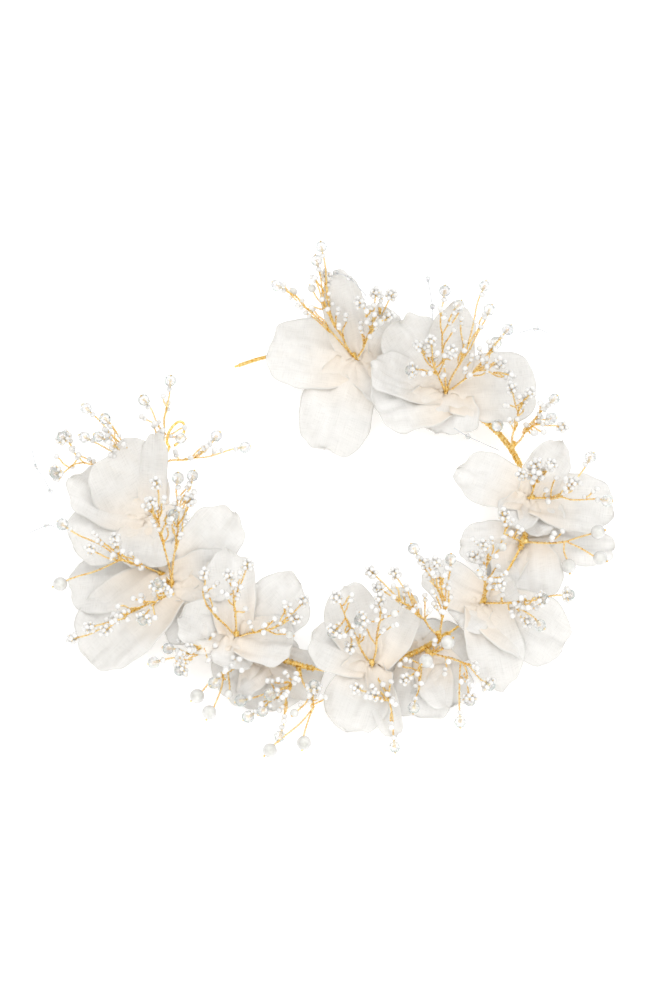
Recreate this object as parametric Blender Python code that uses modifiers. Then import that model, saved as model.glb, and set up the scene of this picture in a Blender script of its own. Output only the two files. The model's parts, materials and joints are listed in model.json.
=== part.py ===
"""Flower crown: a wired bridal hair vine of organza flowers, beads and pearls.

An open ring of core wire carries eleven organza flowers of five or six petals. Sprays of
twisted wire, tipped with crystals, pearls and seed beads, are bound to it with
short sleeves of fine wire. Three flowers lie under the wire and eight above it.
The tables hold places in millimetres; everything else is in metres, +Z up.
"""
import math

import bmesh
import bpy
from mathutils import Matrix, Vector

MM = 0.001

# Driving dimensions.
RING_WIDTH = 160.0 * MM        # core wire, across X
RING_DEPTH = 153.0 * MM        # core wire, along Y
BAND_HEIGHT = 12.0 * MM        # axis of the core wire above the table
CORE_DIAMETER = 1.2 * MM
BINDING_WALL = 1.0 * MM        # fine wire wound over the core and the spray feet
TAIL_WALL = 0.3 * MM           # single layer of fine wire on the tail
TAIL_LENGTH = 15.0 * MM        # wound stretch of the tail
TAIL_TIP = 1.5 * MM            # bare core wire beyond it
CLEARANCE = 0.3 * MM           # gap between pieces that touch
LOOP_INNER_WIDTH = 4.8 * MM
LOOP_LENGTH = 13.0 * MM
STEM_DIAMETER = 1.3 * MM       # three or four wires twisted together
TWIG_DIAMETER = 0.9 * MM       # one wire twisted back on itself
FOOT_DIAMETER = 2.2 * MM       # knot where a spray's wires meet
STRAND_DIAMETER = 0.5 * MM     # clear nylon bristle
PETAL_THICKNESS = 0.6 * MM
FLOWER_LIFT = 0.4 * MM         # petals above the binding they are sewn to
PEARL_DIAMETER = 6.0 * MM
BAND_CRYSTAL_DIAMETER = 5.2 * MM
BEAD_DIAMETERS = {
    "crystal": 5.0 * MM,
    "pearl": 3.6 * MM,
    "seed": 4.4 * MM,          # a tight bunch of seed beads
    "flower": 7.0 * MM,        # seed beads set around a crystal
    "small": 3.0 * MM,
}

CORE_RADIUS = CORE_DIAMETER / 2
BINDING_BORE = CORE_RADIUS + CLEARANCE
BINDING_RADIUS = BINDING_BORE + BINDING_WALL
FOOT_RADIUS = FOOT_DIAMETER / 2
ABOVE_BAND = BINDING_RADIUS + FLOWER_LIFT + PETAL_THICKNESS / 2
STEP = 7.0 * MM                # spacing of the points along the core wire
WIRE_SIDES = 2                 # bevel resolution of the heavier wires
PETAL_STEPS = 26               # around a flower
RING_STEPS = 2                 # from a flower's eye to its rim
EYE_MARGIN = 3.5 * MM          # cloth between the eye and the deepest notch

# The core wire's route from the tail to the loop, in millimetres.
ROUTE_WIDTH, ROUTE_DEPTH = 160.0, 153.0
ROUTE = [
    (-47, 73), (-33, 78), (-19, 79), (11, 74), (42, 59), (65, 40), (76, 17), (76, -7),
    (65, -31), (49, -51), (25, -67), (-4, -74), (-32, -66), (-55, -52), (-73, -34),
    (-81, -12), (-83, 9), (-75, 31),
]

# Stretches of the route that are bound, as a first and a last place near it.
BINDINGS = [
    ((0, 77), (10, 75)), ((38, 62), (47, 56)), ((57, 48), (74, 24)), ((77, 10), (75, -17)),
    ((61, -37), (54, -46)), ((43, -57), (22, -69)), ((15, -71), (6, -73)),
    ((-13, -74), (-50, -55)), ((-66, -42), (-78, -25)), ((-83, 12), (-79, 25)),
]

# Flowers: the eye's place and radius, whether it lies under the core wire, and the
# petals, each with its heading in degrees, reach, width and the height of its tip.
FLOWERS = [
    ((5, 75), 4.0, False, [(171, 38, 35, 16), (250, 40, 31, 0.3), (108, 30, 18, 40), (58, 24, 20, 24),
                           (325, 24, 22, 15)]),
    ((43, 59), 3.5, False, [(124, 36, 26, 25), (82, 33, 16, 31), (4, 38, 32, 14), (196, 32, 28, 18),
                            (165, 33, 18, 21), (255, 18, 30, 10)]),
    ((77, 7), 3.5, False, [(155, 32, 22, 15), (58, 26, 17, 22), (352, 36, 26, 13), (300, 15, 16, 14),
                           (240, 14, 14, 15)]),
    ((74, -12), 3.0, True, [(178, 26, 20, 7), (0, 40, 15, 4), (275, 24, 28, 0.3), (45, 22, 20, 5),
                            (225, 20, 18, 5)]),
    ((57, -43), 3.5, False, [(333, 38, 30, 6), (284, 34, 22, 3), (152, 27, 20, 21), (35, 14, 14, 17),
                             (228, 13, 14, 15)]),
    ((34, -64), 3.0, True, [(258, 26, 26, 0.3), (300, 24, 22, 3), (215, 20, 20, 3), (95, 18, 18, 6),
                            (25, 20, 18, 6)]),
    ((11, -72), 3.5, False, [(112, 32, 21, 27), (62, 33, 18, 25), (247, 27, 25, 3), (286, 32, 11, 6),
                             (155, 25, 22, 18)]),
    ((-33, -67), 3.0, True, [(208, 22, 24, 3), (278, 20, 26, 0.3), (340, 22, 20, 4), (60, 16, 16, 6),
                             (130, 18, 18, 6)]),
    ((-45, -59), 3.5, False, [(38, 34, 26, 22), (97, 36, 18, 23), (345, 22, 20, 18), (166, 22, 20, 19),
                              (262, 16, 16, 16)]),
    ((-73, -34), 7.0, False, [(48, 40, 24, 22), (8, 27, 24, 17), (220, 45, 34, 0.3), (176, 41, 28, 8),
                              (300, 28, 24, 14.2)]),
    ((-82, -2), 3.5, False, [(125, 26, 32, 33), (85, 29, 12, 35), (160, 34, 24, 23), (205, 36, 30, 17),
                             (262, 26, 24, 20), (330, 15, 16, 20)]),
]

# Sprays: the foot's place on the band, the side it is bound to, and its stems. Each
# stem runs from the foot to a fork, and its twigs run on to the tips.
SPRAYS = [
    ((5, 76), "top", [
        ((-6, 87, 28), [(-10, 108, 52, "crystal"), (-12, 105, 46, "crystal"), (-8, 102, 40, "seed"),
                        (-14, 98, 35, "pearl")]),
        ((-16, 92, 28), [(-29, 99, 36, "crystal"), (-22, 99, 31, "pearl")]),
        ((11, 80, 30), [(6, 87, 42, "seed"), (13, 90, 45, "seed"), (20, 91, 42, "seed"),
                        (19, 84, 36, "seed"), (15, 79, 38, "pearl")]),
    ]),
    ((43, 59), "top", [
        ((41, 73, 38), [(42, 86, 52, "crystal"), (48, 82, 47, "crystal")]),
        ((52, 71, 32), [(59, 91, 48, "crystal"), (61, 83, 42, "crystal")]),
        ((56, 63, 26), [(69, 78, 34, "crystal"), (64, 74, 30, "crystal"), (70, 60, 26, "seed"),
                        (66, 65, 28, "seed")]),
        ((38, 62, 28), [(31, 68, 38, "seed"), (36, 68, 42, "seed"), (45, 66, 38, "seed"),
                        (28, 62, 27, "flower")]),
    ]),
    ((71, 32), "top", [
        ((73, 43, 24), [(70, 51, 32, "seed"), (78, 48, 33, "seed")]),
        ((80, 42, 20), [(88, 46, 30, "crystal"), (87, 42, 21, "crystal"), (92, 37, 22, "seed")]),
    ]),
    ((77, 7), "top", [
        ((90, 2, 24), [(109, -1, 26, "crystal"), (102, 13, 38, "crystal"), (95, 6, 30, "seed")]),
        ((80, 9, 28), [(73, 7, 34, "seed"), (79, 10, 38, "seed"), (86, 11, 36, "seed")]),
    ]),
    ((75, -14), "top", [
        ((92, -16, 18), [(105, -15, 24, "big"), (106, -24, 18, "big"), (93, -25, 13, "big")]),
        ((66, -15, 22), [(66, -8, 28, "seed"), (64, -20, 20, "pearl")]),
    ]),
    ((57, -43), "top", [
        ((70, -48, 24), [(81, -50, 30, "flower"), (92, -47, 28, "flower"), (80, -58, 22, "crystal"),
                         (75, -55, 19, "seed")]),
        ((59, -29, 26), [(52, -29, 29, "seed"), (57, -26, 34, "seed"), (65, -25, 29, "pearl")]),
        ((58, -42, 28), [(64, -45, 34, "seed"), (55, -41, 36, "pearl")]),
    ]),
    ((39, -60), "top", [
        ((41, -51, 30), [(37, -40, 44, "seed"), (43, -38, 42, "crystal"), (28, -33, 42, "crystal"),
                         (32, -37, 38, "seed")]),
        ((29, -55, 28), [(10, -43, 41, "seed"), (13, -48, 36, "seed"), (20, -42, 38, "seed"),
                         (23, -50, 30, "pearl")]),
    ]),
    ((33, -63), "side", [
        ((48, -72, 16), [(59, -81, 13, "flower"), (51, -87, 11, "flower"), (47, -96, 9, "crystal")]),
        ((30, -76, 15), [(28, -90, 10, "crystal"), (24, -80, 16, "seed")]),
        ((38, -68, 18), [(42, -66, 22, "big"), (33, -74, 21, "big")]),
    ]),
    ((11, -72), "top", [
        ((0, -60, 32), [(-4, -54, 40, "seed"), (-5, -65, 29, "flower"), (2, -70, 24, "seed")]),
        ((14, -61, 32), [(14, -55, 40, "seed"), (6, -63, 36, "flower"), (20, -60, 36, "pearl")]),
        ((18, -90, 16), [(20, -108, 10, "crystal"), (11, -88, 18, "seed"), (4, -85, 18, "seed")]),
    ]),
    ((-19, -73), "side", [
        ((-23, -82, 12), [(-34, -91, 9, "crystal"), (-40, -92, 6, "crystal"), (-27, -101, 6, "crystal"),
                          (-31, -86, 14, "crystal"), (-43, -86, 9, "crystal")]),
        ((-13, -90, 11), [(-31, -107, 5, "big"), (-17, -104, 6, "big"), (-21, -94, 13, "pearl"),
                          (-13, -84, 18, "flower")]),
    ]),
    ((-36, -64), "side", [
        ((-50, -76, 13), [(-61, -84, 9, "big"), (-56, -90, 6, "big"), (-54, -81, 15, "crystal"),
                          (-48, -84, 11, "pearl")]),
    ]),
    ((-53, -54), "side", [
        ((-61, -67, 13), [(-68, -74, 13, "flower"), (-73, -65, 15, "crystal"), (-79, -70, 12, "crystal")]),
    ]),
    ((-45, -59), "top", [
        ((-46, -51, 30), [(-48, -44, 40, "seed"), (-40, -40, 42, "seed")]),
        ((-30, -61, 25), [(-17, -51, 31, "seed"), (-20, -57, 26, "seed"), (-23, -63, 23, "pearl")]),
        ((-57, -51, 26), [(-58, -40, 34, "seed")]),
    ]),
    ((-72, -35), "top", [
        ((-77, -18, 36), [(-78, -6, 50, "seed"), (-80, -13, 46, "seed"), (-71, -17, 42, "crystal")]),
        ((-69, -14, 38), [(-63, -3, 50, "crystal"), (-69, -3, 48, "crystal"), (-64, -10, 42, "seed")]),
    ]),
    ((-79, 24), "top", [
        ((-76, 30, 28), [(-73, 44, 48, "crystal"), (-84, 37, 44, "crystal"), (-69, 28, 28, "crystal")]),
        ((-63, 22, 22), [(-54, 28, 30, "crystal"), (-42, 26, 24, "crystal")]),
    ]),
    ((-76, -30), "top", [
        ((-93, -31, 29), [(-118, -38, 21, "big"), (-95, -25, 37, "seed"), (-117, -17, 34, "crystal"),
                          (-106, -27, 31, "seed")]),
    ]),
    ((-70, -38), "top", [
        ((-92, -55, 24), [(-99, -60, 21, "seed"), (-106, -57, 18, "seed"), (-113, -60, 14, "seed")]),
        ((-77, -48, 26), [(-83, -58, 27, "flower"), (-77, -46, 35, "flower")]),
    ]),
    ((-83, 18), "side", [
        ((-91, 22, 28), [(-100, 28, 44, "crystal"), (-108, 33, 44, "crystal"), (-103, 24, 36, "crystal"),
                         (-109, 25, 34, "crystal")]),
        ((-110, 22, 18), [(-118, 25, 34, "flower"), (-121, 11, 28, "flower")]),
    ]),
]

# Clear bristles: a root, the way to the tip, and the places of the small beads.
STRANDS = [
    ([(9, 95, 34), (2, 100, 40), (-4, 102, 41)], [1, 2]),
    ([(37, 80, 38), (37, 85, 41), (35, 93, 50)], [1, 2]),
    ([(74, 77, 33), (81, 79, 33), (87, 77, 32)], [1]),
    ([(65, 31, 13), (52, 36, 16), (46, 39, 18)], [1]),
    ([(-123, 4, 25), (-126, 9, 28), (-129, 13, 30), (-131, 21, 32)], [0, 2]),
    ([(-121, -14, 27), (-124, -13, 26), (-132, -17, 26)], [1]),
]
BAND_CRYSTAL_AT = (64.5, 40.5, 17.4)


def clear_scene():
    for item in list(bpy.data.objects):
        bpy.data.objects.remove(item, do_unlink=True)


def new_collection(name):
    group = bpy.data.collections.new(name)
    bpy.context.scene.collection.children.link(group)
    return group


def principled(name, colour, roughness, metallic=0.0, transmission=0.0):
    material = bpy.data.materials.new(name)
    material.use_nodes = True
    shader = material.node_tree.nodes["Principled BSDF"]
    shader.inputs["Base Color"].default_value = (*colour, 1.0)
    shader.inputs["Roughness"].default_value = roughness
    shader.inputs["Metallic"].default_value = metallic
    shader.inputs["Transmission Weight"].default_value = transmission
    return material


def on_ring(place):
    """A table place in millimetres, moved with the ring when its size changes."""
    return Vector((place[0] * RING_WIDTH / ROUTE_WIDTH, place[1] * RING_DEPTH / ROUTE_DEPTH, 0.0))


def from_foot(point, foot):
    """A table point in metres, kept at its own distance from its foot's place."""
    base = on_ring(foot)
    return Vector((base.x + (point[0] - foot[0]) * MM, base.y + (point[1] - foot[1]) * MM,
                   point[2] * MM))


def smooth_route(points, step):
    """Evenly spaced points on a Catmull-Rom curve through the given points."""
    ends = [points[0] * 2 - points[1]] + points + [points[-1] * 2 - points[-2]]
    fine = []
    for i in range(1, len(ends) - 2):
        a, b, c, d = ends[i - 1:i + 3]
        for k in range(20):
            t = k / 20
            fine.append(0.5 * (2 * b + (c - a) * t + (2 * a - 5 * b + 4 * c - d) * t * t
                               + (3 * b - a - 3 * c + d) * t ** 3))
    fine.append(points[-1])
    lengths = [0.0]
    for a, b in zip(fine, fine[1:]):
        lengths.append(lengths[-1] + (b - a).length)
    count = max(2, round(lengths[-1] / step))
    even = []
    i = 0
    for k in range(count + 1):
        goal = lengths[-1] * k / count
        while i < len(fine) - 2 and lengths[i + 1] < goal:
            i += 1
        share = (goal - lengths[i]) / (lengths[i + 1] - lengths[i])
        even.append(fine[i].lerp(fine[i + 1], min(share, 1.0)))
    return even


def wire_curve(name, routes, radius, sides=WIRE_SIDES, capped=True):
    data = bpy.data.curves.new(name, "CURVE")
    data.dimensions = "3D"
    data.bevel_depth = radius
    data.bevel_resolution = sides
    data.use_fill_caps = capped
    for route in routes:
        spline = data.splines.new("POLY")
        spline.points.add(len(route) - 1)
        for point, place in zip(spline.points, route):
            point.co = (*place, 1.0)
    return data


def place_object(name, data, material, group, parent):
    item = bpy.data.objects.new(name, data)
    data.materials.append(material)
    group.objects.link(item)
    item.parent = parent
    return item


def curve_to_mesh(name, data):
    """A curve's surface as a mesh, with its caps welded on."""
    holder = bpy.data.objects.new(name, data)
    bpy.context.scene.collection.objects.link(holder)
    bpy.context.view_layer.update()
    evaluated = holder.evaluated_get(bpy.context.evaluated_depsgraph_get())
    mesh = bpy.data.meshes.new_from_object(evaluated)
    bpy.data.objects.remove(holder)
    bpy.data.curves.remove(data)
    shape = bmesh.new()
    shape.from_mesh(mesh)
    bmesh.ops.remove_doubles(shape, verts=shape.verts, dist=0.00001)
    shape.to_mesh(mesh)
    shape.free()
    return mesh


def nearest(route, place):
    return min(range(len(route)), key=lambda i: (route[i].xy - place.xy).length)


def outward(route, index):
    """The level direction away from the middle of the ring."""
    along = (route[min(index + 1, len(route) - 1)] - route[max(index - 1, 0)]).normalized()
    return Vector((-along.y, along.x, 0.0)).normalized()


def foot_place(route, foot, side):
    """The knot's centre, resting on the binding with the clearance."""
    goal = on_ring(foot)
    index = min(nearest(route, goal), len(route) - 2)
    if index and (goal - route[index]).dot(route[index + 1] - route[index]) < 0:
        index -= 1
    start, along = route[index], route[index + 1] - route[index]
    share = min(max((goal.xy - start.xy).dot(along.xy) / along.length_squared, 0.0), 1.0)
    reach = BINDING_RADIUS + CLEARANCE + FOOT_RADIUS
    if side == "top":
        return start + along * share + Vector((0.0, 0.0, reach))
    return start + along * share + outward(route, index) * reach


def make_core(route, material, group, parent):
    data = wire_curve("core_wire", [route], CORE_RADIUS)
    place_object("core_wire", data, material, group, parent)


def sleeve(name, route, wall, material, group, parent):
    """A tube of wound wire around the core: an open tube with its wall inside."""
    data = wire_curve(name, [route], BINDING_BORE + wall, capped=False)
    item = place_object(name, curve_to_mesh(name, data), material, group, parent)
    shell = item.modifiers.new("wall", "SOLIDIFY")
    shell.thickness = wall
    shell.offset = -1.0


def make_tail(route, material, group, parent):
    along = (route[1] - route[0]).normalized()
    first = route[0] + along * TAIL_TIP
    last = nearest(route, route[0] + along * (TAIL_TIP + TAIL_LENGTH))
    sleeve("tail_wrap", [first] + route[1:last + 1], TAIL_WALL, material, group, parent)


def make_bindings(route, material, group, parent):
    for number, (start, end) in enumerate(BINDINGS, 1):
        first, last = nearest(route, on_ring(start)), nearest(route, on_ring(end))
        last = max(last, first + 1)
        sleeve(f"binding_{number:02d}", route[first:last + 1], BINDING_WALL, material, group, parent)


def make_loop(route, material, group, parent):
    """The pin loop at the core wire's end: a shank and an open oval of one wire."""
    along = (route[-1] - route[-2]).normalized()
    across = Vector((along.y, -along.x, 0.0))
    half_width = (LOOP_INNER_WIDTH + CORE_DIAMETER) / 2
    half_length = LOOP_LENGTH / 2
    start = route[-1] + along * CLEARANCE
    neck = start + along * (CORE_DIAMETER * 2)
    middle = neck + along * half_length
    points = [start, start + along * CORE_DIAMETER]
    turns = 16
    gap = math.radians(32)
    for k in range(turns + 1):
        angle = gap * 0.2 + (2 * math.pi - gap * 1.2) * k / turns
        points.append(middle - along * (half_length * math.cos(angle))
                      - across * (half_width * math.sin(angle)))
    data = wire_curve("end_loop", [points], CORE_RADIUS)
    place_object("end_loop", data, material, group, parent)


def petal_reach(angle, petals, least):
    """The rim's distance along an angle: the longest of the petals' ovals."""
    best, chosen = least, None
    nearest_turn = 10.0
    for petal in petals:
        heading, reach, width, height = petal
        turn = math.remainder(angle - math.radians(heading), 2 * math.pi)
        if abs(turn) < nearest_turn:
            nearest_turn, chosen = abs(turn), petal
        if math.cos(turn) <= 0:
            continue
        slim = reach / width
        oval = reach * MM * math.cos(turn) / (math.cos(turn) ** 2 + (slim * math.sin(turn)) ** 2)
        if oval > best:
            best, nearest_turn, chosen = oval, -1.0, petal
    return best, chosen


def make_flower(number, spec, material, group, parent):
    """Petals cut in one piece of organza, around an eye for the stems."""
    place, eye, under, petals = spec
    name = f"flower_{number:02d}"
    eye = eye * MM
    rise = -ABOVE_BAND if under else ABOVE_BAND
    shape = bmesh.new()
    bmesh.ops.create_grid(shape, x_segments=PETAL_STEPS, y_segments=RING_STEPS, size=1.0)
    for vertex in shape.verts:
        angle = (vertex.co.x + 1.0) * math.pi
        share = (vertex.co.y + 1.0) / 2
        rim, petal = petal_reach(angle, petals, eye + EYE_MARGIN)
        radius = eye + (rim - eye) * share
        drop = petal[3] * MM - BAND_HEIGHT - rise
        height = drop * max((radius - eye) / (petal[1] * MM - eye), 0.0) ** 1.6
        vertex.co = Vector((radius * math.cos(angle), radius * math.sin(angle), height))
    bmesh.ops.remove_doubles(shape, verts=shape.verts, dist=0.00002)
    bmesh.ops.recalc_face_normals(shape, faces=shape.faces)
    mesh = bpy.data.meshes.new(name)
    shape.to_mesh(mesh)
    shape.free()
    item = place_object(name, mesh, material, group, parent)
    item.location = on_ring(place) + Vector((0.0, 0.0, BAND_HEIGHT + rise))
    cloth = item.modifiers.new("cloth", "SOLIDIFY")
    cloth.thickness = PETAL_THICKNESS
    cloth.offset = 0.0


def add_ball(shape, place, diameter, level=1):
    bmesh.ops.create_icosphere(shape, subdivisions=level, radius=diameter / 2,
                               matrix=Matrix.Translation(place))


def merged(name, parts):
    """One closed body from overlapping closed bodies."""
    base, tool = [bpy.data.objects.new(name, mesh) for mesh in parts]
    for item in (base, tool):
        bpy.context.scene.collection.objects.link(item)
    union = base.modifiers.new("union", "BOOLEAN")
    union.operation = "UNION"
    union.object = tool
    union.use_self = True
    bpy.context.view_layer.update()
    evaluated = base.evaluated_get(bpy.context.evaluated_depsgraph_get())
    mesh = bpy.data.meshes.new_from_object(evaluated)
    for item in (base, tool):
        bpy.data.objects.remove(item)
    return mesh


def ball_mesh(name, place, diameter):
    shape = bmesh.new()
    add_ball(shape, place, diameter)
    mesh = bpy.data.meshes.new(name)
    shape.to_mesh(mesh)
    shape.free()
    return mesh


def joined_wires(name, sets, balls):
    """The tubes of several curves and the balls on them, in one mesh."""
    shape = bmesh.new()
    for radius, routes in sets:
        mesh = curve_to_mesh(name, wire_curve(name, routes, radius, sides=0))
        shape.from_mesh(mesh)
        bpy.data.meshes.remove(mesh)
    for place, diameter in balls:
        add_ball(shape, place, diameter)
    mesh = bpy.data.meshes.new(name)
    shape.to_mesh(mesh)
    shape.free()
    return mesh


def pearl_seat(fork, tip):
    """Where a threaded pearl's twig ends: past the bore, in a small knot."""
    along = (tip - fork).normalized()
    return tip + along * (PEARL_DIAMETER / 2 + CLEARANCE + TWIG_DIAMETER * 0.7)


def make_spray(number, spec, route, materials, group, parent, pearls):
    foot, side, stems = spec
    name = f"spray_{number:02d}"
    knot = foot_place(route, foot, side)
    stem_routes, twig_routes, balls = [], [], []
    for fork, tips in stems:
        fork = from_foot(fork, foot)
        stem_routes.append([knot, fork])
        for *place, kind in tips:
            tip = from_foot(place, foot)
            if kind == "big":
                knob = pearl_seat(fork, tip)
                pearls.append((tip, (tip - fork).normalized()))
                twig_routes.append([fork, knob])
                balls.append((knob, TWIG_DIAMETER * 1.8))
            else:
                twig_routes.append([fork, tip])
                balls.append((tip, BEAD_DIAMETERS[kind]))
    sets = [(STEM_DIAMETER / 2, stem_routes), (TWIG_DIAMETER / 2, twig_routes)]
    mesh = merged(name, [joined_wires(name, sets, balls), ball_mesh(name, knot, FOOT_DIAMETER)])
    place_object(name, mesh, materials["gold"], group, parent)


def make_pearl(number, place, along, material, group, parent):
    """A drilled pearl: half its outline and its bore, turned about the bore."""
    name = f"pearl_{number:02d}"
    bore = TWIG_DIAMETER / 2 + CLEARANCE
    radius = PEARL_DIAMETER / 2
    edge = math.asin(bore / radius)
    steps = 5
    shape = bmesh.new()
    outline = []
    for k in range(steps + 1):
        angle = edge + (math.pi - 2 * edge) * k / steps
        outline.append(shape.verts.new((radius * math.sin(angle), 0.0, radius * math.cos(angle))))
    for first, second in zip(outline, outline[1:] + outline[:1]):
        shape.edges.new((first, second))
    mesh = bpy.data.meshes.new(name)
    shape.to_mesh(mesh)
    shape.free()
    item = place_object(name, mesh, material, group, parent)
    item.location = place
    item.rotation_mode = "QUATERNION"
    item.rotation_quaternion = along.to_track_quat("Z", "Y")
    turn = item.modifiers.new("turn", "SCREW")
    turn.steps = turn.render_steps = 8
    turn.use_merge_vertices = True
    turn.merge_threshold = 0.00001


def make_strand(number, spec, material, group, parent):
    route, beads = spec
    name = f"strand_{number:02d}"
    points = [from_foot(point, route[0][:2]) for point in route]
    balls = [(points[k], BEAD_DIAMETERS["small"]) for k in beads[1:]]
    tubes = joined_wires(name, [(STRAND_DIAMETER / 2, [points])], balls)
    first = ball_mesh(name, points[beads[0]], BEAD_DIAMETERS["small"])
    place_object(name, merged(name, [tubes, first]), material, group, parent)


def make_band_crystal(material, group, parent):
    mesh = ball_mesh("band_crystal", Vector((0.0, 0.0, 0.0)), BAND_CRYSTAL_DIAMETER)
    item = place_object("band_crystal", mesh, material, group, parent)
    item.location = from_foot(BAND_CRYSTAL_AT, BAND_CRYSTAL_AT[:2])


def stand_on_origin(frame, group):
    """Moves the frame so that the crown's box stands on the origin."""
    bpy.context.view_layer.update()
    graph = bpy.context.evaluated_depsgraph_get()
    low, high = Vector((1e9,) * 3), Vector((-1e9,) * 3)
    for item in group.objects:
        if item.type == "EMPTY":
            continue
        evaluated = item.evaluated_get(graph)
        mesh = evaluated.to_mesh()
        for vertex in mesh.vertices:
            place = item.matrix_world @ vertex.co
            for axis in range(3):
                low[axis] = min(low[axis], place[axis])
                high[axis] = max(high[axis], place[axis])
        evaluated.to_mesh_clear()
    frame.location = (-(low.x + high.x) / 2, -(low.y + high.y) / 2, -low.z)
    bpy.context.view_layer.update()


def main():
    clear_scene()
    group = new_collection("flower_crown")
    frame = bpy.data.objects.new("crown_frame", None)
    group.objects.link(frame)
    materials = {
        "gold": principled("gold_wire", (0.83, 0.55, 0.20), 0.28, metallic=1.0),
        "organza": principled("ivory_organza", (0.93, 0.90, 0.84), 0.75),
        "pearl": principled("glass_pearl", (0.93, 0.92, 0.89), 0.2),
        "crystal": principled("clear_crystal", (0.88, 0.90, 0.93), 0.05, transmission=0.9),
        "nylon": principled("clear_nylon", (0.85, 0.86, 0.88), 0.15, transmission=0.8),
    }
    corners = [on_ring(place) + Vector((0.0, 0.0, BAND_HEIGHT)) for place in ROUTE]
    route = smooth_route(corners, STEP)
    make_core(route, materials["gold"], group, frame)
    make_tail(route, materials["gold"], group, frame)
    make_loop(route, materials["gold"], group, frame)
    make_bindings(route, materials["gold"], group, frame)
    make_band_crystal(materials["crystal"], group, frame)
    for number, spec in enumerate(FLOWERS, 1):
        make_flower(number, spec, materials["organza"], group, frame)
    pearls = []
    for number, spec in enumerate(SPRAYS, 1):
        make_spray(number, spec, route, materials, group, frame, pearls)
    for number, (place, along) in enumerate(pearls, 1):
        make_pearl(number, place, along, materials["pearl"], group, frame)
    for number, spec in enumerate(STRANDS, 1):
        make_strand(number, spec, materials["nylon"], group, frame)
    stand_on_origin(frame, group)


main()
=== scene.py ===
"""Looks of the flower crown: organza petals, twisted gold wire, crystals and pearls.

Places are table millimetres, as in the CAD model, moved by the model's own shift.
"""
import json
import math
import random

import bpy
import numpy as np
from mathutils import Matrix, Vector, noise


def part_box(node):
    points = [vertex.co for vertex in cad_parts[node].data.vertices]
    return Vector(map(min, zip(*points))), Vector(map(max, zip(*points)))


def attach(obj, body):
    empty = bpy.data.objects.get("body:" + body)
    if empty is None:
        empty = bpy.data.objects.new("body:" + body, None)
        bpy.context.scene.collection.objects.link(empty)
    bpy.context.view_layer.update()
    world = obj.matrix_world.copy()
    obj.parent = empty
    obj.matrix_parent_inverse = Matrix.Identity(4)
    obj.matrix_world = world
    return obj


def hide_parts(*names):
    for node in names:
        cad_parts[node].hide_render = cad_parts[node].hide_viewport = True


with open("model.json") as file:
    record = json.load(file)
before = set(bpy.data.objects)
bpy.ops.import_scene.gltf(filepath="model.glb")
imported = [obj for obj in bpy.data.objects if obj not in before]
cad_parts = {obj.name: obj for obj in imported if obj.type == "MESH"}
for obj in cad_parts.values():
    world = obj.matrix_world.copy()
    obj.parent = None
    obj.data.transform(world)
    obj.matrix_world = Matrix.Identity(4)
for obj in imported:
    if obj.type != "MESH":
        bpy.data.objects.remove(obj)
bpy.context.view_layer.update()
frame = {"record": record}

MM = 0.001
BAND_HEIGHT = 12.0
CORE_RADIUS = 0.6
WINDING_RADIUS = 1.25          # outside of the fine wire wound round the core
EYE_HEIGHT = 2.6               # a flower's eye above or below the core wire
STRAND = 0.17                  # radius of the craft wire's single strand
PAIR_PITCH = 2.6               # one full twist of a twig's two strands
PAIR_SPREAD = 1.55             # their distance from the twist's middle, in strand radii
STEM_STRAND = 0.21             # radius of a stem's heavier strands
STEM_PITCH = 3.0               # one full twist of a stem

# The core wire's route from the tail to the loop.
ROUTE = [
    (-47, 73), (-33, 78), (-19, 79), (11, 74), (42, 59), (65, 40), (76, 17), (76, -7),
    (65, -31), (49, -51), (25, -67), (-4, -74), (-32, -66), (-55, -52), (-73, -34),
    (-81, -12), (-83, 9), (-75, 31),
]

# Bound stretches of the route, as a first and a last place near it.
BINDINGS = [
    ((0, 77), (10, 75)), ((38, 62), (47, 56)), ((57, 48), (74, 24)), ((77, 10), (75, -17)),
    ((61, -37), (54, -46)), ((43, -57), (22, -69)), ((15, -71), (6, -73)),
    ((-13, -74), (-50, -55)), ((-66, -42), (-78, -25)), ((-83, 12), (-79, 25)),
]

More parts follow.
